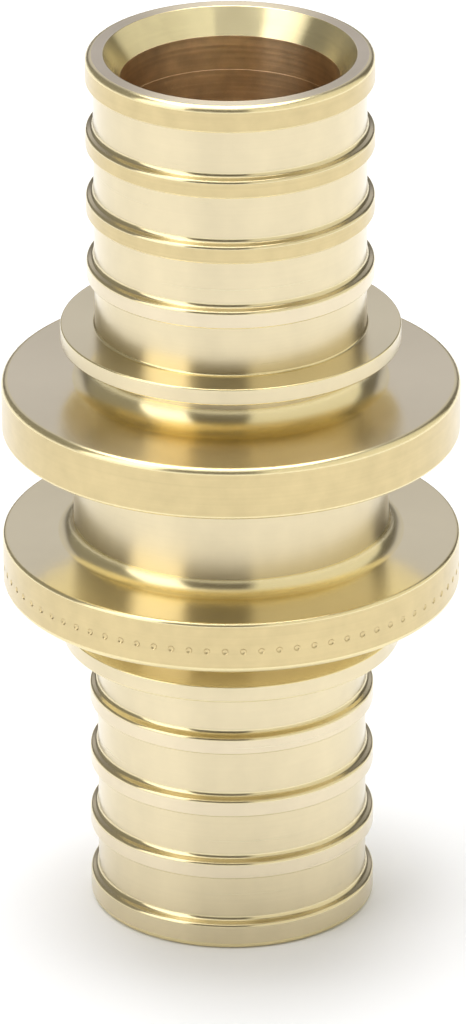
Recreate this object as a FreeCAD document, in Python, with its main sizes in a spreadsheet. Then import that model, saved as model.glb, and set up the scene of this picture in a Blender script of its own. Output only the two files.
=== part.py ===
# Brass pipe coupler, turned from one bar: a ribbed spigot on each end, a thin collar behind each spigot and
# two thick flanges that the pressing tool pulls on, with a neck between them. It stands on one end, on +Z.
import FreeCAD, Part
import math
import os
import Sketcher

# Driving dimensions in millimetres, degrees and counts, each with what it measures.
# Lengths run along the axis, and walls and rises are measured across it.
DRIVING_SIZES = [
    ("neckLength", 10.8, "gap between the two thick flanges"),
    ("flangeThickness", 5.2, "thick flange, along the axis"),
    ("seatWidth", 4.05, "groove between a thick flange and its collar"),
    ("collarThickness", 1.65, "thin collar, along the axis"),
    ("spigotLength", 27.6, "collar face to the end of the spigot"),
    ("boreDiameter", 20.8, "water way"),
    ("entryStep", 0.1, "radial step from the water way up to the entry bore"),
    ("entryDepth", 5.9, "end face to the step of the entry bore"),
    ("mouthDepth", 2.45, "countersink at the end of the bore"),
    ("mouthAngle", 33.0, "countersink, from the axis to its wall"),
    ("spigotWall", 2.6, "wall of the spigot at the floor of its grooves"),
    ("seatWall", 2.6, "wall at the groove behind the collar"),
    ("neckWall", 4.75, "wall at the neck"),
    ("collarRise", 3.3, "collar above the spigot"),
    ("flangeRise", 6.85, "thick flange above the neck"),
    ("ribRise", 0.75, "rib above the floor of the grooves, and the radius of its hollow flanks"),
    ("ribWidth", 1.65, "land of a rib"),
    ("rimWidth", 2.55, "land of the last rib, at the end of the spigot"),
    ("plainLength", 5.1, "collar to the land of the first rib"),
    ("grooveCount", 3, "grooves between the ribs of one spigot"),
    ("neckFillet", 1.5, "foot of the neck"),
    ("seatFillet", 2.2, "foot of the groove behind the collar, on the flange"),
    ("collarFillet", 0.2, "foot of the collar on the spigot"),
    ("flangeRounding", 0.6, "edges of the thick flanges"),
    ("collarRounding", 0.15, "edges of the collars"),
    ("rimRounding", 0.6, "outer edge of the spigot end"),
    ("dotCount", 80, "stamped dots round the lower flange"),
    ("dotDiameter", 0.6, "stamped dot"),
    ("dotDepth", 0.1, "stamped dot"),
    ("dotLevel", 0.55, "share of the lower flange's thickness above the dots"),
    ("firstDotAngle", 2.9, "first dot, from +X"),
]

# Sizes that follow from the driving ones. Heights are measured from the middle of the coupler.
DERIVED_SIZES = [
    ("boreRadius", "boreDiameter / 2"),
    ("entryRadius", "boreRadius + entryStep"),
    ("mouthRadius", "entryRadius + mouthDepth * tan(mouthAngle * 1deg)"),
    ("spigotRadius", "boreRadius + spigotWall"),
    ("ribRadius", "spigotRadius + ribRise"),
    ("collarRadius", "spigotRadius + collarRise"),
    ("seatRadius", "boreRadius + seatWall"),
    ("neckRadius", "boreRadius + neckWall"),
    ("flangeRadius", "neckRadius + flangeRise"),
    ("flangeBottom", "neckLength / 2"),
    ("flangeTop", "flangeBottom + flangeThickness"),
    ("collarBottom", "flangeTop + seatWidth"),
    ("collarTop", "collarBottom + collarThickness"),
    ("spigotEnd", "collarTop + spigotLength"),
    ("ribPitch", "(spigotLength - plainLength - rimWidth) / grooveCount"),
    ("dotBallRadius", "(dotDiameter ^ 2 / 4 + dotDepth ^ 2) / (2 * dotDepth)"),
    ("dotBallReach", "flangeRadius + dotBallRadius - dotDepth"),
    ("dotHeight", "-(flangeBottom + dotLevel * flangeThickness)"),
]

# How a sketch numbers the points of a side, and its own origin.
START_POINT, END_POINT, CENTRE_POINT = 1, 2, 3
SKETCH_ORIGIN = (-1, 1)

POSITION_TOLERANCE = 0.001


def makeSheet(doc):
    """Write the driving and derived sizes into a spreadsheet, one row each."""
    sheet = doc.addObject("Spreadsheet::Sheet", "sizes")
    sheet.set("A1", "size")
    sheet.set("B1", "value")
    sheet.set("C1", "what it measures")
    row = 2
    for name, value, meaning in DRIVING_SIZES:
        sheet.set(f"A{row}", name)
        sheet.set(f"B{row}", str(value))
        sheet.set(f"C{row}", meaning)
        sheet.setAlias(f"B{row}", name)
        row += 1
    for name, formula in DERIVED_SIZES:
        sheet.set(f"A{row}", name)
        sheet.set(f"B{row}", "=" + formula)
        sheet.setAlias(f"B{row}", name)
        row += 1
    doc.recompute()
    return sheet


def originPart(body, role):
    """Return the body's own origin plane or axis with the given role."""
    return next(part for part in body.Origin.OriginFeatures if part.Role == role)


def newSketch(body, name):
    """Start a sketch on the body's XZ plane, where x is the radius and y the height on the axis."""
    sketch = body.newObject("Sketcher::SketchObject", name)
    sketch.AttachmentSupport = [(originPart(body, "XZ_Plane"), "")]
    sketch.MapMode = "FlatFace"
    return sketch


def drawOutline(sketch, corners, centres=None):
    """Draw a closed outline. A corner is a pair of size formulas, radius and height, that place it.

    The side that leaves a corner is straight, or a round side where centres gives the corner's number
    the radius and height of an arc's centre.
    """
    centres = centres or {}
    points = [sketchPoint(sketch, corner) for corner in corners]
    sides = []
    for index, point in enumerate(points):
        nextPoint = points[(index + 1) % len(points)]
        if index in centres:
            sides.append(drawArc(sketch, sketchPoint(sketch, centres[index]), point, nextPoint))
        else:
            geometry = sketch.addGeometry(Part.LineSegment(point, nextPoint), False)
            sides.append((geometry, START_POINT, END_POINT))
    for index, (geometry, first, last) in enumerate(sides):
        nextGeometry, nextFirst, nextLast = sides[(index + 1) % len(sides)]
        sketch.addConstraint(Sketcher.Constraint("Coincident", geometry, last, nextGeometry, nextFirst))
    for index, (radius, height) in enumerate(corners):
        geometry, first, last = sides[index]
        straightBefore = index > 0 and index - 1 not in centres
        if straightBefore and radius == corners[index - 1][0]:
            sketch.addConstraint(Sketcher.Constraint("Vertical", sides[index - 1][0]))
        else:
            placePoint(sketch, "DistanceX", geometry, first, radius)
        if straightBefore and height == corners[index - 1][1]:
            sketch.addConstraint(Sketcher.Constraint("Horizontal", sides[index - 1][0]))
        else:
            placePoint(sketch, "DistanceY", geometry, first, height)
        if index in centres:
            placePoint(sketch, "DistanceX", geometry, CENTRE_POINT, centres[index][0])


def drawArc(sketch, centre, first, last):
    """Add the short arc from one point to another. A sketch stores every arc anticlockwise."""
    firstAngle = math.atan2(first.y - centre.y, first.x - centre.x)
    lastAngle = math.atan2(last.y - centre.y, last.x - centre.x)
    anticlockwise = math.sin(lastAngle - firstAngle) > 0
    angles = (firstAngle, lastAngle) if anticlockwise else (lastAngle, firstAngle)
    circle = Part.Circle(centre, FreeCAD.Vector(0, 0, 1), first.distanceToPoint(centre))
    geometry = sketch.addGeometry(Part.ArcOfCircle(circle, *angles), False)
    return (geometry, START_POINT, END_POINT) if anticlockwise else (geometry, END_POINT, START_POINT)


def placePoint(sketch, kind, geometry, point, formula):
    """Measure one point of a side from the origin, across or along, and bind the measure to its formula."""
    value = float(sketch.evalExpression(formula))
    constraint = sketch.addConstraint(
        Sketcher.Constraint(kind, *SKETCH_ORIGIN, geometry, point, value)
    )
    sketch.setExpression(f"Constraints[{constraint}]", formula)


def sketchPoint(sketch, corner):
    """Work out where a corner lies with the values that the sheet holds now."""
    radius, height = corner
    return FreeCAD.Vector(float(sketch.evalExpression(radius)), float(sketch.evalExpression(height)), 0)


def circlesAt(feature, radius, heights):
    """Return the names of the feature's full circles of one radius at any of the given heights."""
    names = []
    for number, edge in enumerate(feature.Shape.Edges, start=1):
        if not isinstance(edge.Curve, Part.Circle) or not edge.isClosed():
            continue
        sameRadius = abs(edge.Curve.Radius - radius) < POSITION_TOLERANCE
        if sameRadius and any(abs(edge.Curve.Center.z - height) < POSITION_TOLERANCE for height in heights):
            names.append(f"Edge{number}")
    return names


def roundCircles(body, name, radius, heights, formula):
    """Round the circles of the body's last feature that lie at a radius and some heights."""
    body.Document.recompute()
    base = body.Tip
    fillet = body.newObject("PartDesign::Fillet", name)
    fillet.Base = (base, circlesAt(base, radius, heights))
    fillet.setExpression("Radius", formula)
    return fillet


def turnBlank(body):
    """Turn the upper half of the coupler, with its bore, from one half section."""
    sketch = newSketch(body, "half_section")
    ribStart = "sizes.collarTop + sizes.plainLength"
    drawOutline(sketch, [
        ("sizes.boreRadius", "0"),
        ("sizes.neckRadius", "0"),
        ("sizes.neckRadius", "sizes.flangeBottom"),
        ("sizes.flangeRadius", "sizes.flangeBottom"),
        ("sizes.flangeRadius", "sizes.flangeTop"),
        ("sizes.seatRadius", "sizes.flangeTop"),
        ("sizes.seatRadius", "sizes.collarBottom"),
        ("sizes.collarRadius", "sizes.collarBottom"),
        ("sizes.collarRadius", "sizes.collarTop"),
        ("sizes.spigotRadius", "sizes.collarTop"),
        ("sizes.spigotRadius", ribStart + " - sizes.ribRise"),
        ("sizes.ribRadius", ribStart),
        ("sizes.ribRadius", "sizes.spigotEnd"),
        ("sizes.mouthRadius", "sizes.spigotEnd"),
        ("sizes.entryRadius", "sizes.spigotEnd - sizes.mouthDepth"),
        ("sizes.entryRadius", "sizes.spigotEnd - sizes.entryDepth"),
        ("sizes.boreRadius", "sizes.spigotEnd - sizes.entryDepth"),
    ], {10: ("sizes.ribRadius", ribStart + " - sizes.ribRise")})
    blank = body.newObject("PartDesign::Revolution", "turned_blank")
    blank.Profile = sketch
    blank.ReferenceAxis = (sketch, ["V_Axis"])
    blank.Angle = 360
    return blank


def cutRibGrooves(body):
    """Cut the groove next to the rim, and repeat it down the spigot to leave the ribs standing."""
    sketch = newSketch(body, "groove_section")
    top = "sizes.spigotEnd - sizes.rimWidth"
    bottom = top + " - sizes.ribPitch + sizes.ribWidth"
    floorTop = top + " - sizes.ribRise"
    floorBottom = bottom + " + sizes.ribRise"
    drawOutline(sketch, [
        ("sizes.spigotRadius", floorTop),
        ("sizes.spigotRadius", floorBottom),
        ("sizes.ribRadius", bottom),
        ("sizes.ribRadius + sizes.ribRise", bottom),
        ("sizes.ribRadius + sizes.ribRise", top),
        ("sizes.ribRadius", top),
    ], {1: ("sizes.ribRadius", floorBottom), 5: ("sizes.ribRadius", floorTop)})
    groove = body.newObject("PartDesign::Groove", "rib_groove")
    groove.Profile = sketch
    groove.ReferenceAxis = (sketch, ["V_Axis"])
    groove.Angle = 360
    pattern = body.newObject("PartDesign::LinearPattern", "rib_grooves")
    pattern.Originals = [groove]
    pattern.Direction = (originPart(body, "Z_Axis"), [""])
    pattern.Reversed = True
    pattern.Mode = "Spacing"
    pattern.setExpression("Offset", "sizes.ribPitch")
    pattern.setExpression("Occurrences", "sizes.grooveCount")
    body.Tip = pattern
    return pattern


def roundEdges(body, sheet):
    """Round the foot of each step and break its outer edges. A rounding is limited by what it lies on."""
    roundCircles(
        body, "neck_foot", sheet.neckRadius, [sheet.flangeBottom],
        "min(sizes.neckFillet; sizes.flangeRise / 2; sizes.neckLength * 0.4)",
    )
    roundCircles(
        body, "seat_foot", sheet.seatRadius, [sheet.flangeTop],
        "min(sizes.seatFillet; (sizes.flangeRadius - sizes.seatRadius) / 2; sizes.seatWidth * 0.8)",
    )
    roundCircles(
        body, "collar_foot", sheet.spigotRadius, [sheet.collarTop],
        "min(sizes.collarFillet; sizes.collarRise / 2; (sizes.plainLength - sizes.ribRise) / 2)",
    )
    roundCircles(
        body, "flange_edges", sheet.flangeRadius, [sheet.flangeBottom, sheet.flangeTop],
        "min(sizes.flangeRounding; sizes.flangeThickness * 0.4; sizes.flangeRise / 2)",
    )
    roundCircles(
        body, "collar_edges", sheet.collarRadius, [sheet.collarBottom, sheet.collarTop],
        "min(sizes.collarRounding; sizes.collarThickness * 0.4; sizes.collarRise / 2)",
    )
    roundCircles(
        body, "rim_edge", sheet.ribRadius, [sheet.spigotEnd],
        "min(sizes.rimRounding; sizes.rimWidth / 2; (sizes.ribRadius - sizes.mouthRadius) * 0.8)",
    )


def mirrorHalf(body):
    """Add the lower half as the mirror image of the upper one."""
    body.Document.recompute()
    mirror = body.newObject("PartDesign::Mirrored", "both_halves")
    mirror.TransformMode = "Whole shape"
    mirror.MirrorPlane = (originPart(body, "XY_Plane"), [""])
    mirror.Refine = True
    body.Tip = mirror
    return mirror


def stampDots(body):
    """Press a row of shallow dots into the rim of the lower flange, each the mark of a ball."""
    ball = body.newObject("PartDesign::SubtractiveSphere", "dot")
    ball.AttachmentSupport = [(originPart(body, "XY_Plane"), "")]
    ball.MapMode = "FlatFace"
    ball.setExpression("Radius", "sizes.dotBallRadius")
    ball.setExpression("AttachmentOffset.Base.x", "sizes.dotBallReach * cos(sizes.firstDotAngle * 1deg)")
    ball.setExpression("AttachmentOffset.Base.y", "sizes.dotBallReach * sin(sizes.firstDotAngle * 1deg)")
    ball.setExpression("AttachmentOffset.Base.z", "sizes.dotHeight")
    pattern = body.newObject("PartDesign::PolarPattern", "dots")
    pattern.Originals = [ball]
    pattern.Axis = (originPart(body, "Z_Axis"), [""])
    pattern.Angle = 360
    pattern.setExpression("Occurrences", "sizes.dotCount")
    body.Tip = pattern
    return pattern


def makeCoupler(doc, sheet):
    """Build the coupler about its middle, then stand it on its lower end at the origin."""
    body = doc.addObject("PartDesign::Body", "coupler_body")
    body.Label = "coupler_body"
    turnBlank(body)
    cutRibGrooves(body)
    roundEdges(body, sheet)
    mirrorHalf(body)
    stampDots(body)
    body.setExpression(".Placement.Base.z", "sizes.spigotEnd")
    return body


def checkDocument(doc, bodies):
    """Stop with the name of whatever failed to recompute or has no valid solid."""
    for item in doc.Objects:
        if "Invalid" in item.State or "Error" in item.State:
            raise RuntimeError(f"{item.Label} failed: {item.State}")
    for body in bodies:
        if body.Shape.isNull() or not body.Shape.isValid() or len(body.Shape.Solids) != 1:
            raise RuntimeError(f"{body.Label} is not one valid solid")


def main():
    doc = FreeCAD.newDocument("pipe_coupler")
    sheet = makeSheet(doc)
    bodies = [makeCoupler(doc, sheet)]
    doc.recompute()
    checkDocument(doc, bodies)
    os.makedirs("parts", exist_ok=True)
    for body in bodies:
        body.Shape.exportStep(f"parts/{body.Label}.step")
        box = body.Shape.optimalBoundingBox(False)
        print(f"{body.Label}: {box.XLength:.2f} x {box.YLength:.2f} x {box.ZLength:.2f} mm,")
        print(f"volume {body.Shape.Volume:.0f} mm3, lowest point {box.ZMin:.3f}")


main()
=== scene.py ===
import math

import bpy
import numpy as np
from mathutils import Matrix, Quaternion, Vector


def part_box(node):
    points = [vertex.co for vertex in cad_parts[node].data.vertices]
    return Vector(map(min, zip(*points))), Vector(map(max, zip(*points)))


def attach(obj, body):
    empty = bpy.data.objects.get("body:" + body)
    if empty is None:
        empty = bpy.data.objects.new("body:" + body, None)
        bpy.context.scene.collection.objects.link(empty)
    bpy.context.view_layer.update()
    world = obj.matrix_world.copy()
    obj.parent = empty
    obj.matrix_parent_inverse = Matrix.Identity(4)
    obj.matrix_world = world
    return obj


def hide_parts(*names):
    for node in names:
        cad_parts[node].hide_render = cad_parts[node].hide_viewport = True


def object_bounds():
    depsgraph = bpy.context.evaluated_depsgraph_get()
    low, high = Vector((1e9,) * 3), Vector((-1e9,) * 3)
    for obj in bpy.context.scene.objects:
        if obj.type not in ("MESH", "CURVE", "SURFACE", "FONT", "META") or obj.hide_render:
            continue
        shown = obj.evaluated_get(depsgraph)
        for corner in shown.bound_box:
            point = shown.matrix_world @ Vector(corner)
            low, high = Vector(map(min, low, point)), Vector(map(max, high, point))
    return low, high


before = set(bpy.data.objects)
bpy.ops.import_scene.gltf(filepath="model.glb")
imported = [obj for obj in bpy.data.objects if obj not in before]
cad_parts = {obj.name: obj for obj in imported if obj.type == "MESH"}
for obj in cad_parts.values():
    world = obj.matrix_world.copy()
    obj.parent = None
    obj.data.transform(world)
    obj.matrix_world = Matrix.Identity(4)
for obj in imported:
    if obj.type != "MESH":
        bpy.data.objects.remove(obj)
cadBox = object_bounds()
lowCorner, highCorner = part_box("coupler_body")
print("frame loaded:", [round(value * 1000, 2) for value in highCorner - lowCorner], "mm")

millimetre = 0.001


# Node trees

class Signal:
    # A socket that carries a number or a vector, with the arithmetic that the materials use.
    def __init__(self, tree, socket):
        self.tree = tree
        self.socket = socket

    def maths(self, operation, *values, clamped=False):
        return self.tree.add("ShaderNodeMath", {"operation": operation, "use_clamp": clamped},
                             dict(enumerate(values)))

    def __add__(self, other):
        return self.maths("ADD", self, other)

    def __sub__(self, other):
        return self.maths("SUBTRACT", self, other)

    def __rsub__(self, other):
        return self.maths("SUBTRACT", other, self)

    def __mul__(self, other):
        return self.maths("MULTIPLY", self, other)

    def __truediv__(self, other):
        return self.maths("DIVIDE", self, other)

    def __gt__(self, other):
        return self.maths("GREATER_THAN", self, other)

    __radd__ = __add__
    __rmul__ = __mul__

    def __abs__(self):
        return self.maths("ABSOLUTE", self)

    def clamped(self):
        return self.maths("ADD", self, 0.0, clamped=True)

    def vectorMaths(self, operation, *values, output="Vector"):
        return self.tree.add("ShaderNodeVectorMath", {"operation": operation},
                             dict(enumerate((self,) + values)), output)

    def dot(self, vector):
        return self.vectorMaths("DOT_PRODUCT", vector, output="Value")


class NodeTree:
    # Adds the nodes of one material or of the world.
    def __init__(self, owner):
        owner.use_nodes = True
        self.nodes = owner.node_tree.nodes
        self.links = owner.node_tree.links
        self.nodes.clear()

    def add(self, kind, settings, values, output=0):
        node = self.nodes.new(kind)
        for name, setting in settings.items():
            setattr(node, name, setting)
        for name, value in values.items():
            if isinstance(value, Signal):
                self.links.new(value.socket, node.inputs[name])
            else:
                node.inputs[name].default_value = value
        return Signal(self, node.outputs[output]) if node.outputs else node


# Profile of the coupler

couplerSizes = {  # millimetres, degrees and counts; the outer radius and the length come from the frame
    "neckLength": 10.8, "flangeThickness": 5.2, "seatWidth": 4.05, "collarThickness": 1.65,
    "flangeRise": 6.85, "neckWall": 4.75, "seatWall": 2.6, "spigotWall": 2.6, "collarRise": 3.3,
    "ribRise": 0.75, "ribWidth": 1.65, "rimWidth": 2.55, "plainLength": 5.1, "grooveCount": 3,
    "entryStep": 0.025, "entryDepth": 5.9, "mouthDepth": 2.45, "mouthAngle": 33,
    "neckFillet": 1.5, "seatFillet": 2.2, "collarFillet": 0.2, "flangeRounding": 0.6,
    "innerRounding": 0.35, "collarRounding": 0.15, "rimRounding": 0.6, "mouthRounding": 0.12,
    "edgeBreak": 0.08, "stepRounding": 0.012,
    "landRounding": 0.33, "undersideRounding": 0.12,
    "topFlank": {"run": 0.3, "fillet": 0.48}, "underside": {"run": 0.05, "fillet": 0.3},
}

profileGrid = {
    "columns": 160,  # round the axis, two to a stamped dot
    "sag": 0.004,  # millimetres from a rounding to the straight line between two of its points
    "supportGap": 0.02,  # millimetres from the end of a rounding to the flat's first point
    "longestSide": 3.0,  # millimetres
    "samePoint": 1e-5,  # millimetres: of two points closer than this only one is kept
    "sameHeight": 1e-6,  # millimetres: what is closer than this lies at one height or radius
}

stampedDots = {  # millimetres, degrees and counts; the rings are shares of the dot's radius
    "count": 80, "firstAngle": 2.9, "radius": 0.3, "depth": 0.1, "level": 0.55,
    "bandHalfHeight": 0.55, "outerRing": 1.5, "rings": (1.12, 1.0, 0.88, 0.7, 0.45, 0.2), "sideRows": 9,
}

# Painted reflection: the lands' brass colours are picked per rib and per half to copy how bright their
# reflections look. They are paler on the lower lands and the lower rim, and darker rolled brass on most
# upper lands.
landFinishesAndPaintedReflection = {  # of each rib from the collar on, and then of the rim
    "upper": ("pale", "rolled", "rolled", "rolled"),
    "lower": ("pale", "pale", "pale", "satin"),
}


def halfCorners(sizes, flanks, landRoundings, landFinishesAndPaintedReflection):
    # Corners of one half, from the neck along the outside to the end and back down the bore. Each is the
    # radius, the distance from the middle, the rounding and the finish of the side that leaves it, in
    # millimetres. The flanks and roundings of a rib are given for its inner and its outer side, and the
    # finishes for each rib from the collar on, and then for the rim.
    neckRadius = highCorner.x / millimetre - sizes["flangeRise"]
    boreRadius = neckRadius - sizes["neckWall"]
    spigotRadius = boreRadius + sizes["spigotWall"]
    seatRadius = boreRadius + sizes["seatWall"]
    ribRadius = spigotRadius + sizes["ribRise"]
    flangeRadius = neckRadius + sizes["flangeRise"]
    collarRadius = spigotRadius + sizes["collarRise"]
    entryRadius = boreRadius + sizes["entryStep"]
    mouthRadius = entryRadius + sizes["mouthDepth"] * math.tan(math.radians(sizes["mouthAngle"]))
    flangeBottom = sizes["neckLength"] / 2
    flangeTop = flangeBottom + sizes["flangeThickness"]
    collarBottom = flangeTop + sizes["seatWidth"]
    collarTop = collarBottom + sizes["collarThickness"]
    end = (highCorner.z - lowCorner.z) / millimetre / 2
    ribPitch = (end - collarTop - sizes["plainLength"] - sizes["rimWidth"]) / sizes["grooveCount"]
    corners = [
        (neckRadius, flangeBottom, sizes["neckFillet"], "faced"),
        (flangeRadius, flangeBottom, sizes["innerRounding"], "rolled"),
        (flangeRadius, flangeTop, sizes["flangeRounding"], "turned"),
        (seatRadius, flangeTop, sizes["seatFillet"], "satin"),
        (seatRadius, collarBottom, sizes["edgeBreak"], "faced"),
        (collarRadius, collarBottom, sizes["collarRounding"], "satin"),
        (collarRadius, collarTop, sizes["collarRounding"], "faced"),
        (spigotRadius, collarTop, sizes["collarFillet"], "satin"),
    ]
    inner, outer = flanks
    for rib in range(sizes["grooveCount"] + 1):
        landStart = collarTop + sizes["plainLength"] + rib * ribPitch
        # the land's colour from this table is partly a painted reflection
        finish = landFinishesAndPaintedReflection[rib]
        corners += [(spigotRadius, landStart - inner["run"], inner["fillet"], "cove"),
                    (ribRadius, landStart, landRoundings[0], finish)]
        if rib < sizes["grooveCount"]:
            landStop = landStart + sizes["ribWidth"]
            corners += [(ribRadius, landStop, landRoundings[1], "cove"),
                        (spigotRadius, landStop + outer["run"], outer["fillet"], "satin")]
    corners += [
        (ribRadius, end, sizes["rimRounding"], "endFaced"),
        (mouthRadius, end, sizes["mouthRounding"], "coned"),
        (entryRadius, end - sizes["mouthDepth"], sizes["edgeBreak"], "bored"),
        (entryRadius, end - sizes["entryDepth"], sizes["stepRounding"], "bored"),
        (boreRadius, end - sizes["entryDepth"], sizes["stepRounding"], "bored"),
    ]
    return corners


def closedCorners(sizes):
    # The upper half's corners, and the lower half's below the middle and in the opposite order, as one
    # closed loop. The flanks that face up are sloped in both halves.
    flanks = sizes["underside"], sizes["topFlank"]
    roundings = sizes["undersideRounding"], sizes["landRounding"]
    upper = halfCorners(sizes, flanks, roundings, landFinishesAndPaintedReflection["upper"])
    lower = halfCorners(sizes, flanks[::-1], roundings[::-1], landFinishesAndPaintedReflection["lower"])
    below = []
    for index in range(len(lower) - 1, -1, -1):
        radius, height, rounding, finish = lower[index]
        sideBefore = lower[index - 1][3] if index else "satin"
        below.append((radius, -height, rounding, sideBefore))
    return upper + below


def roundedLoop(corners, grid):
    # Turns the corners into points and the direction of travel at each. A corner is cut back by
    # rounding / tan(half its angle) along both sides, and the arc between the two cuts turns about the
    # point where both their normals meet. Its chords turn by 2 * acos(1 - sag / rounding) at most.
    flat = np.array([corner[:2] for corner in corners])
    ahead = np.roll(flat, -1, axis=0) - flat
    ahead /= np.linalg.norm(ahead, axis=1, keepdims=True)
    back = -np.roll(ahead, 1, axis=0)
    halves = np.arccos(np.clip((back * ahead).sum(axis=1), -1, 1)) / 2
    cuts = np.array([corner[2] for corner in corners]) / np.tan(halves)
    starts, stops = flat + back * cuts[:, None], flat + ahead * cuts[:, None]
    points, travels, finishes = [], [], []
    for index, (radius, height, rounding, finish) in enumerate(corners):
        start, stop = starts[index], stops[index]
        inwards = back[index] + ahead[index]
        centre = flat[index] + inwards / np.linalg.norm(inwards) * rounding / math.sin(halves[index])
        turn = math.pi - 2 * halves[index]
        steps = max(2, math.ceil(turn / 2 / math.acos(1 - grid["sag"] / rounding)))
        share = np.linspace(0, 1, steps + 1)[:, None]
        arc = centre + (np.sin((1 - share) * turn) * (start - centre)
                        + np.sin(share * turn) * (stop - centre)) / math.sin(turn)
        arcTravel = (np.cos(share * turn) * (stop - centre)
                     - np.cos((1 - share) * turn) * (start - centre)) / math.sin(turn) / rounding
        side = straightPoints(stop, starts[(index + 1) % len(corners)], grid)
        points += [arc, side]
        travels += [arcTravel, np.tile(ahead[index], (len(side), 1))]
        sideBefore = corners[index - 1][3]
        finishes += [roundingFinish(sideBefore, finish)] * steps + [finish] * (len(side) + 1)
    return np.vstack(points), np.vstack(travels), finishes


def roundingFinish(before, after):
    # A rounding at the bore or at a rib's flank looks like them, and any other is a polished edge.
    if "bored" in (before, after):
        return "bored"
    return "cove" if "cove" in (before, after) else "edge"


def straightPoints(start, stop, grid):
    # Points inside a straight side: one close to each end, and others evenly between. A side that is
    # hardly longer than the gaps has none.
    length = np.linalg.norm(stop - start)
    gap = grid["supportGap"]
    if length < 4 * gap:
        return np.empty((0, 2))
    steps = max(1, math.ceil((length - 2 * gap) / grid["longestSide"]))
    along = np.linspace(gap, length - gap, steps + 1)[:, None]
    return start + (stop - start) * along / length


def addRows(points, travels, finishes, heights, tolerance):
    # Puts points at the given heights into the outermost side that crosses them on its way up.
    outer = points[:, 0].max()
    for height in heights:
        onRim = np.minimum(points[:, 0], np.roll(points[:, 0], -1)) > outer - tolerance
        crosses = (points[:, 1] < height) & (np.roll(points[:, 1], -1) > height)
        index = int(np.flatnonzero(onRim & crosses)[0]) + 1
        points = np.insert(points, index, (outer, height), axis=0)
        travels = np.insert(travels, index, (0, 1), axis=0)
        finishes.insert(index, finishes[index - 1])
    return points, travels, finishes


def makeCoupler(sizes, grid, dots):
    # A surface of revolution. The point at angle a of the profile point (r, z) is (r cos a, r sin a, z),
    # and its normal is the travel (dr, dz) turned to the right, (dz cos a, dz sin a, -dr). The band with
    # the stamped dots is left open for makeDots.
    middle = (highCorner.z + lowCorner.z) / 2
    points, travels, finishes = roundedLoop(closedCorners(sizes), grid)
    dotHeight = -(sizes["neckLength"] / 2 + dots["level"] * sizes["flangeThickness"])
    band = [dotHeight - dots["bandHalfHeight"], dotHeight + dots["bandHalfHeight"]]
    tolerance = grid["sameHeight"]
    points, travels, finishes = addRows(points, travels, finishes, band, tolerance)
    apart = np.linalg.norm(points - np.roll(points, 1, axis=0), axis=1) > grid["samePoint"]
    onRim = points[:, 0] > points[:, 0].max() - tolerance
    inBand = onRim & (points[:, 1] > band[0] + tolerance) & (points[:, 1] < band[1] - tolerance)
    keep = apart & ~inBand
    points, travels = points[keep], travels[keep]
    finishes = [finish for finish, kept in zip(finishes, np.roll(keep, -1)) if kept]
    along = np.concatenate([[0], np.cumsum(np.linalg.norm(np.diff(points, axis=0), axis=1))])

    rows, columns = len(points), grid["columns"]
    step = 2 * math.pi / columns
    firstAngle = math.radians(dots["firstAngle"]) - math.pi / dots["count"]
    angles = firstAngle + step * np.arange(columns)
    radius, height = points[:, :1], points[:, 1:]
    vertices = np.stack([radius * np.cos(angles), radius * np.sin(angles),
                         np.repeat(height, columns, axis=1)], axis=-1).reshape(-1, 3)
    lift, slant = travels[:, 1:], -travels[:, :1]
    normals = np.stack([lift * np.cos(angles), lift * np.sin(angles),
                        np.repeat(slant, columns, axis=1)], axis=-1).reshape(-1, 3)
    vertexAlong = np.repeat(along, columns)

    row, column = np.meshgrid(np.arange(rows), np.arange(columns), indexing="ij")
    nextRow, nextColumn = (row + 1) % rows, (column + 1) % columns
    quads = np.stack([row * columns + column, row * columns + nextColumn,
                      nextRow * columns + nextColumn, nextRow * columns + column], axis=-1)
    onRim = points[:, 0] > points[:, 0].max() - tolerance
    bandRow = int(np.flatnonzero(onRim & (np.abs(points[:, 1] - band[0]) < tolerance))[0])
    faceFinish = np.repeat([finishNames.index(finish) for finish in finishes], columns)
    quads = quads.reshape(-1, 4)
    closed = np.repeat(np.arange(rows) != bandRow, columns)
    quads, faceFinish = quads[closed], faceFinish[closed]

    moreVertices, moreNormals, moreAlong, moreFaces = makeDots(
        dots, columns, bandRow, band, points[:, 0].max(), along[bandRow], len(vertices))
    vertices = np.vstack([vertices, moreVertices]) * millimetre
    vertices[:, 2] += middle
    normals = np.vstack([normals, moreNormals])
    vertexAlong = np.concatenate([vertexAlong, moreAlong]) * millimetre
    bandFinish = finishNames.index(finishes[bandRow])
    faceFinish = np.concatenate([faceFinish, np.full(len(moreFaces), bandFinish)])
    print("profile points:", rows, "faces:", len(quads) + len(moreFaces))
    return buildMesh("coupler", vertices, normals, [*quads.tolist(), *moreFaces], faceFinish, vertexAlong)


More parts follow.
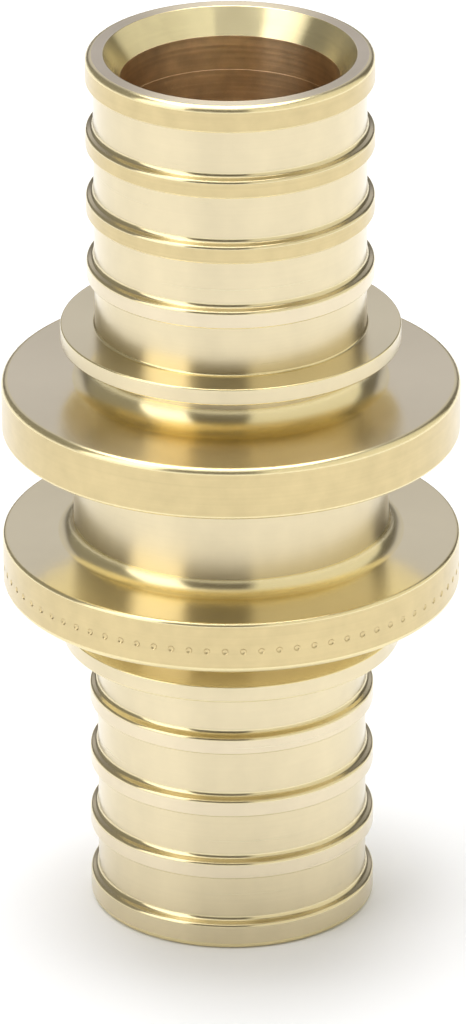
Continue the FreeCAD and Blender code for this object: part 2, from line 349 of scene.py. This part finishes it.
def makeDots(dots, columns, bandRow, band, rimRadius, alongBand, firstVertex):
    # Each dot has a cell of two columns. Rings lead from the cell's border to the dot, whose floor is a
    # dish: at a share s of the dot's radius it lies (1 - s ** 4) of the depth below the rim, so it rises
    # outwards by 4 * s ** 3 * depth / radius, and its normal leans inwards by as much. The rim is made of
    # flats: at an angle a from the middle of one, its radius is rimRadius * cos(half a column) / cos(a).
    count, sideRows = dots["count"], dots["sideRows"]
    perCell = columns // count
    loop = 2 * (perCell + sideRows)
    cellAngle = 2 * math.pi / count
    centres = math.radians(dots["firstAngle"]) + cellAngle * np.arange(count)
    middle = sum(band) / 2

    sideHeights = np.linspace(band[0], band[1], sideRows + 1)[1:-1]
    sideAngles = np.repeat(centres - cellAngle / 2, sideRows - 1)
    sides = np.stack([rimRadius * np.cos(sideAngles), rimRadius * np.sin(sideAngles),
                      np.tile(sideHeights, count)], axis=-1)
    firstSide = firstVertex
    firstRing = firstSide + len(sides)

    turn = math.radians(270) + 2 * math.pi / loop * (np.arange(loop) - perCell / 2)
    shares = np.array([dots["outerRing"], *dots["rings"], 0])
    depth = dots["depth"] * np.clip(1 - shares ** 4, 0, None)
    reach = shares * dots["radius"]
    ringAngle = centres[:, None, None] + reach[None, :, None] * np.cos(turn) / rimRadius
    ringHeight = np.broadcast_to(middle + reach[None, :, None] * np.sin(turn), ringAngle.shape)
    halfColumn = math.pi / columns
    offFlat = np.mod(ringAngle - centres[0] + cellAngle / 2, 2 * halfColumn) - halfColumn
    ringRadius = rimRadius * math.cos(halfColumn) / np.cos(offFlat) - depth[None, :, None]
    rings = np.stack([ringRadius * np.cos(ringAngle), ringRadius * np.sin(ringAngle), ringHeight], axis=-1)
    rings = rings[:, :-1].reshape(-1, 3)
    lean = (np.where(shares <= 1, 4 * shares ** 3, 0) * dots["depth"] / dots["radius"])[None, :, None]
    tilt = lean * np.cos(turn)
    ringNormals = np.stack([np.cos(ringAngle) + tilt * np.sin(ringAngle),
                            np.sin(ringAngle) - tilt * np.cos(ringAngle),
                            np.broadcast_to(-lean * np.sin(turn), ringAngle.shape)], axis=-1)
    ringNormals = ringNormals[:, :-1].reshape(-1, 3)
    ringNormals /= np.linalg.norm(ringNormals, axis=1, keepdims=True)
    centrePoints = np.stack([(rimRadius - dots["depth"]) * np.cos(centres),
                             (rimRadius - dots["depth"]) * np.sin(centres),
                             np.full(count, middle)], axis=-1)
    ringCount = len(shares) - 1
    firstCentre = firstRing + len(rings)

    dot = np.arange(count)
    nextDot = (dot + 1) % count
    low = bandRow * columns + (dot[:, None] * perCell + np.arange(perCell + 1)) % columns
    high = low + columns
    left = firstSide + dot[:, None] * (sideRows - 1) + np.arange(sideRows - 1)
    right = firstSide + nextDot[:, None] * (sideRows - 1) + np.arange(sideRows - 1)
    border = np.hstack([low, right, high[:, ::-1], left[:, ::-1]])
    ringIndex = firstRing + (dot[:, None, None] * ringCount + np.arange(ringCount)[None, :, None]) * loop
    ringIndex = ringIndex + np.arange(loop)
    loops = np.concatenate([border[:, None, :], ringIndex], axis=1)
    following = np.roll(loops, -1, axis=2)
    quads = np.stack([loops[:, :-1], following[:, :-1], following[:, 1:], loops[:, 1:]], axis=-1)
    centreIndex = np.broadcast_to((firstCentre + dot)[:, None], (count, loop))
    fans = np.stack([loops[:, -1], following[:, -1], centreIndex], axis=-1)
    vertices = np.vstack([sides, rings, centrePoints])
    sideNormals, centreNormals = (np.stack([np.cos(angle), np.sin(angle), 0 * angle], axis=-1)
                                  for angle in (sideAngles, centres))
    normals = np.vstack([sideNormals, ringNormals, centreNormals])
    along = alongBand + vertices[:, 2] - band[0]
    return vertices, normals, along, [*quads.reshape(-1, 4).tolist(), *fans.reshape(-1, 3).tolist()]


def buildMesh(name, vertices, normals, faces, faceFinish, vertexAlong):
    mesh = bpy.data.meshes.new(name)
    mesh.from_pydata(vertices.tolist(), [], faces)
    for finish in finishNames:
        mesh.materials.append(brassFinish(finish, finishes[finish], brassGrain))
    mesh.polygons.foreach_set("material_index", faceFinish.astype(np.int32))
    mesh.attributes.new("alongProfile", "FLOAT", "POINT").data.foreach_set("value", vertexAlong)
    mesh.shade_smooth()
    mesh.normals_split_custom_set_from_vertices(normals.tolist())
    mesh.update()
    coupler = bpy.data.objects.new(name, mesh)
    bpy.context.scene.collection.objects.link(coupler)
    return coupler


# Brass

finishes = {  # lines are the tool's marks: their pitch and depth in millimetres
    "satin": {"colour": (0.69, 0.595, 0.39), "roughness": 0.28, "anisotropy": 0.75, "coat": 0.55,
              "linePitch": 0.2, "lineDepth": 0.0004, "mottle": 0.05, "tint": 0.06},
    "rolled": {"colour": (0.6, 0.485, 0.255), "roughness": 0.3, "anisotropy": 0.4, "coat": 0.3,
               "linePitch": 0.2, "lineDepth": 0.001, "mottle": 0.12, "tint": 0.03},
    "pale": {"colour": (0.715, 0.62, 0.44), "roughness": 0.28, "anisotropy": 0.75, "coat": 0.5,
             "linePitch": 0.2, "lineDepth": 0.0004, "mottle": 0.04, "tint": 0.05},
    "faced": {"colour": (0.79, 0.69, 0.43), "roughness": 0.2, "anisotropy": 0.9, "coat": 0.2,
              "linePitch": 0.3, "lineDepth": 0.0004, "mottle": 0.02, "tint": 0.0},
    "turned": {"colour": (0.77, 0.675, 0.45), "roughness": 0.21, "anisotropy": 0.92, "coat": 0.15,
               "linePitch": 0.3, "lineDepth": 0.0004, "mottle": 0.02, "tint": 0.0},
    "coned": {"colour": (0.76, 0.67, 0.4), "roughness": 0.26, "anisotropy": 1.0, "coat": 0.0,
              "linePitch": 0.3, "lineDepth": 0.001, "mottle": 0.1, "tint": 0.04},
    "endFaced": {"colour": (0.7, 0.61, 0.43), "roughness": 0.3, "anisotropy": 0.85, "coat": 0.1,
                 "linePitch": 0.2, "lineDepth": 0.001, "mottle": 0.04, "tint": 0.03},
    "edge": {"colour": (0.79, 0.68, 0.39), "roughness": 0.24, "anisotropy": 0.85, "coat": 0.15,
             "linePitch": 0.2, "lineDepth": 0.001, "mottle": 0.03, "tint": 0.0},
    "cove": {"colour": (0.72, 0.62, 0.37), "roughness": 0.2, "anisotropy": 0.8, "coat": 0.15,
             "linePitch": 0.2, "lineDepth": 0.0005, "mottle": 0.02, "tint": 0.0},
    "bored": {"colour": (0.81, 0.615, 0.4), "roughness": 0.31, "anisotropy": 0.85, "coat": 0.0,
              "linePitch": 0.5, "lineDepth": 0.03, "mottle": 0.35, "tint": 0.12},
}
finishNames = list(finishes)

brassGrain = {  # scales are per metre; the swing is the share by which the lines change the roughness
    "streakScale": (30, 30, 0), "blotchScale": 500, "tintScale": (260, 260, 12),
    "lineDetail": 3.0, "tintDetail": 2.0, "roughnessSwing": 0.1, "coatRoughness": 0.2,
    "blurTurn": 0.25,  # of a full turn: the blur runs along the profile
}


def brassFinish(name, finish, grain):
    # Turned brass: the tool's fine lines round the axis, drawn along the profile, soft blotches, and
    # tints that change round the axis and stay the same along it.
    material = bpy.data.materials.new("brass_" + name)
    tree = NodeTree(material)
    place = tree.add("ShaderNodeTexCoord", {}, {}, "Object")
    along = tree.add("ShaderNodeAttribute", {"attribute_name": "alongProfile"}, {}, "Fac")
    stretch = tree.add("ShaderNodeCombineXYZ", {}, {"Z": along * (1 / (finish["linePitch"] * millimetre))})
    streaked = place.vectorMaths("MULTIPLY_ADD", grain["streakScale"], stretch)
    lines = tree.add("ShaderNodeTexNoise", {}, {
        "Vector": streaked, "Scale": 1.0, "Detail": grain["lineDetail"]})
    blotches = tree.add("ShaderNodeTexNoise", {}, {
        "Vector": place, "Scale": grain["blotchScale"], "Detail": grain["lineDetail"]})
    upright = place.vectorMaths("MULTIPLY", grain["tintScale"])
    tints = tree.add("ShaderNodeTexNoise", {}, {
        "Vector": upright, "Scale": 1.0, "Detail": grain["tintDetail"]})
    shade = (1 + (lines - 0.5) * finish["mottle"] + (blotches - 0.5) * finish["mottle"] * 2
             + (tints - 0.5) * finish["tint"] * 2)
    colour = tree.add("ShaderNodeVectorMath", {"operation": "SCALE"}, {0: finish["colour"], "Scale": shade})
    swing = grain["roughnessSwing"]
    roughness = finish["roughness"] * (1 - swing / 2 + lines * swing)
    bump = tree.add("ShaderNodeBump", {}, {
        "Strength": 1.0, "Distance": finish["lineDepth"] * millimetre, "Height": lines})
    shader = tree.add("ShaderNodeBsdfPrincipled", {}, {
        "Base Color": colour, "Metallic": 1.0, "Roughness": roughness, "Normal": bump,
        "Anisotropic": finish["anisotropy"], "Anisotropic Rotation": grain["blurTurn"],
        "Coat Weight": finish["coat"], "Coat Roughness": grain["coatRoughness"]})
    tree.add("ShaderNodeOutputMaterial", {}, {"Surface": shader})
    return material


# Studio

floorValues = {"halfWidth": 3.0, "colour": (0.86, 0.87, 0.89), "roughness": 0.9, "specular": 0.2}

studioLight = {
    "dark": (0.16, 0.15, 0.14),
    "walls": {  # degrees: azimuth from the camera's side towards +X, elevation, and the width of the edge
        "key": {"azimuth": (-79, -36), "elevation": (2, 66), "edge": 3, "light": (2.2, 2.15, 2.1)},
        "right": {"azimuth": (15, 128), "elevation": (-4, 57), "edge": 8, "light": (0.95, 0.93, 0.86)},
        "left": {"azimuth": (-150, -80), "elevation": (0, 60), "edge": 8, "light": (0.31, 0.3, 0.28)},
        "behind": {"azimuth": (155, 205), "elevation": (14, 50), "edge": 10, "light": (0.7, 0.7, 0.8)},
    },
    "ceilings": {  # slopes from straight up, towards +X and +Y
        "front": {"middle": (-0.15, -0.45), "halfSizes": (0.38, 0.36), "edge": 0.15,
                  "light": (1.3, 1.3, 1.3)},
        "back": {"middle": (-0.06, 0.27), "halfSizes": (0.42, 0.4), "edge": 0.2,
                 "light": (5.8, 5.8, 5.8)},
    },
}


def makeFloor(values):
    # A flat sheet: the point (u, v) is (u * half width, v * half width, 0) for u and v from -1 to 1.
    reach = np.array([-1.0, 1.0]) * values["halfWidth"]
    across, along = np.meshgrid(reach, reach, indexing="ij")
    corners = np.stack([across, along, np.full_like(across, lowCorner.z)], axis=-1).reshape(-1, 3)
    mesh = bpy.data.meshes.new("floor")
    mesh.from_pydata(corners.tolist(), [], [[0, 2, 3, 1]])
    material = bpy.data.materials.new("pale_floor")
    tree = NodeTree(material)
    shader = tree.add("ShaderNodeBsdfPrincipled", {}, {
        "Base Color": (*values["colour"], 1), "Roughness": values["roughness"],
        "Specular IOR Level": values["specular"]})
    tree.add("ShaderNodeOutputMaterial", {}, {"Surface": shader})
    mesh.materials.append(material)
    floor = bpy.data.objects.new("floor", mesh)
    bpy.context.scene.collection.objects.link(floor)
    print("floor made")


def wallMask(direction, panel):
    # A stretch of wall: the direction's angles from the panel's middle, each faded over the edge's width.
    middle = math.radians(sum(panel["azimuth"]) / 2)
    ahead = direction.dot((math.sin(middle), -math.cos(middle), 0))
    sideways = direction.dot((math.cos(middle), math.sin(middle), 0))
    turned = abs(sideways.maths("ARCTAN2", sideways, ahead))
    raised = direction.maths("ARCSINE", direction.dot((0, 0, 1)))
    edge = math.radians(panel["edge"])
    halfWidth = math.radians(panel["azimuth"][1] - panel["azimuth"][0]) / 2
    low, high = (math.radians(elevation) for elevation in panel["elevation"])
    return (((halfWidth - turned) / edge + 0.5).clamped()
            * ((raised - low) / edge + 0.5).clamped()
            * ((high - raised) / edge + 0.5).clamped())


def ceilingMask(direction, panel):
    # A rectangle overhead: the direction, divided by its rise, says where on the ceiling it points.
    rise = direction.dot((0, 0, 1))
    mask = rise > 0.0
    for axis, middle, half in zip([(1, 0, 0), (0, 1, 0)], panel["middle"], panel["halfSizes"]):
        offset = abs(direction.dot(axis) / rise - middle)
        mask = mask * ((half - offset) / panel["edge"] + 0.5).clamped()
    return mask


def makeStudioLight(values):
    world = bpy.data.worlds.new("studio")
    bpy.context.scene.world = world
    tree = NodeTree(world)
    direction = tree.add("ShaderNodeTexCoord", {}, {}, "Generated")
    light = tree.add("ShaderNodeCombineXYZ", {}, dict(enumerate(values["dark"])))
    panels = [(wallMask(direction, wall), wall["light"]) for wall in values["walls"].values()]
    panels += [(ceilingMask(direction, ceiling), ceiling["light"])
               for ceiling in values["ceilings"].values()]
    for mask, brightness in panels:
        light = light.vectorMaths("MAXIMUM", mask.vectorMaths("MULTIPLY", brightness))
    background = tree.add("ShaderNodeBackground", {}, {"Color": light, "Strength": 1.0})
    tree.add("ShaderNodeOutputWorld", {}, {"Surface": background})
    print("studio light made:", len(panels), "panels")


# Camera

cameraValues = {
    "elevation": 24.264, "distance": 1.013, "roll": -0.155,  # degrees and metres
    "pixelSize": 0.0961,  # millimetres at the coupler's middle
    "middleColumn": 231.2, "middleRow": 476.74,  # where the coupler's middle lies in the frame
    "frameWidth": 466, "frameHeight": 1024,  # pixels
    "sensor": 36,  # millimetres along the frame's height
    "nearest": 0.05,  # metres from the camera to what it begins to see
}


def makeCamera(values):
    data = bpy.data.cameras.new("camera")
    camera = bpy.data.objects.new("camera", data)
    bpy.context.scene.collection.objects.link(camera)
    middle = (cadBox[0] + cadBox[1]) / 2
    elevation = math.radians(values["elevation"])
    back = Vector((0, -math.cos(elevation), math.sin(elevation)))
    camera.location = middle + back * values["distance"]
    turned = back.to_track_quat("Z", "Y") @ Quaternion((0, 0, 1), math.radians(values["roll"]))
    camera.rotation_mode = "QUATERNION"
    camera.rotation_quaternion = turned
    data.sensor_width = values["sensor"]
    frameSize = values["pixelSize"] * millimetre * values["frameHeight"]
    data.lens = values["distance"] / frameSize * values["sensor"]
    data.shift_x = (values["frameWidth"] / 2 - values["middleColumn"]) / values["frameHeight"]
    data.shift_y = (values["middleRow"] - values["frameHeight"] / 2) / values["frameHeight"]
    data.clip_start = values["nearest"]
    bpy.context.scene.camera = camera
    print("camera made: lens", round(data.lens, 1), "mm")


makeCamera(cameraValues)
coupler = makeCoupler(couplerSizes, profileGrid, stampedDots)
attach(coupler, "root")
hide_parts("coupler_body")
print("coupler made")
makeFloor(floorValues)
makeStudioLight(studioLight)
bpy.context.scene.view_settings.view_transform = "Standard"
